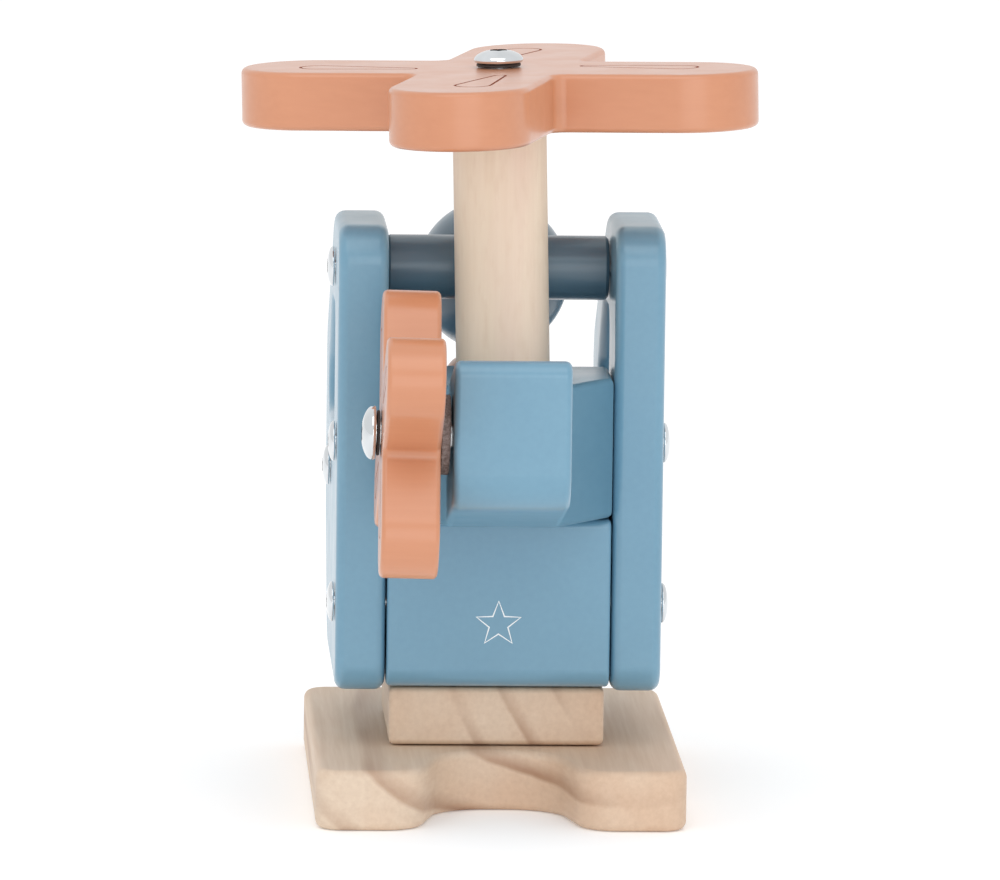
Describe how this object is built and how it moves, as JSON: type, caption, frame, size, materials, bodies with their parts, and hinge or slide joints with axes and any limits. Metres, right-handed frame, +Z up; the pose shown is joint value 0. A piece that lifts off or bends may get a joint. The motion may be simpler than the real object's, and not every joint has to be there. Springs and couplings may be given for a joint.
{
  "type": "wooden toy helicopter",
  "caption": "Wooden toy helicopter with free-turning main and tail rotors, two painted side plates, a peg pilot and a notched skid base.",
  "frame": {"origin": "middle of the flat underside of the skid base, which stands on the ground", "axes": "+X to the helicopter's right side, +Y to its nose, +Z up"},
  "size_m": [0.1225, 0.1782, 0.1818],
  "materials": {
    "blue_painted_wood": "satin dusty-blue paint on wood",
    "terracotta_painted_wood": "satin terracotta paint on wood",
    "beech_wood": "sanded, clear matt lacquer",
    "pine_wood": "sanded, unpainted, visible grain",
    "fibre_washer": "grey-brown pressed fibre",
    "dark_nylon": "moulded, matt",
    "chromed_steel": "bright chrome plate",
    "zinc_steel": "zinc plated",
    "brass": "turned"
  },
  "bodies": {
    "root": {"base_screw_front": "zinc_steel", "base_screw_rear": "zinc_steel", "boom_screw_left": "chromed_steel", "boom_screw_right": "chromed_steel", "floor_block": "blue_painted_wood", "floor_screw_left": "chromed_steel", "floor_screw_right": "chromed_steel", "main_rotor_screw": "chromed_steel", "main_rotor_washer": "dark_nylon", "mast_insert": "brass", "pilot_body": "terracotta_painted_wood", "pilot_head": "blue_painted_wood", "pilot_pin": "beech_wood", "riser_block": "pine_wood", "roof_dowel": "blue_painted_wood", "roof_screw_left": "chromed_steel", "roof_screw_right": "chromed_steel", "rotor_mast": "beech_wood", "seat_board": "blue_painted_wood", "seat_screw_left": "chromed_steel", "seat_screw_right": "chromed_steel", "side_plate_left": "blue_painted_wood", "side_plate_right": "blue_painted_wood", "skid_base": "pine_wood", "tail_boom": "blue_painted_wood", "tail_insert": "brass", "tail_rotor_screw": "chromed_steel", "tail_rotor_spacer": "fibre_washer", "tail_rotor_washer": "dark_nylon"},
    "main_rotor": {"main_rotor": "terracotta_painted_wood"},
    "tail_rotor": {"tail_rotor": "terracotta_painted_wood"}
  },
  "joints": [
    {"name": "main_rotor_spin", "type": "hinge", "parent": "root", "child": "main_rotor", "pos_m": [-0.00093, -0.02054, 0.17053], "axis": [-0.0262, 0.007, 0.9996], "continuous": true},
    {"name": "tail_rotor_spin", "type": "hinge", "parent": "root", "child": "tail_rotor", "pos_m": [-0.0235, -0.0815, 0.09772], "axis": [0.9997, 0, -0.0227], "continuous": true}
  ]
}
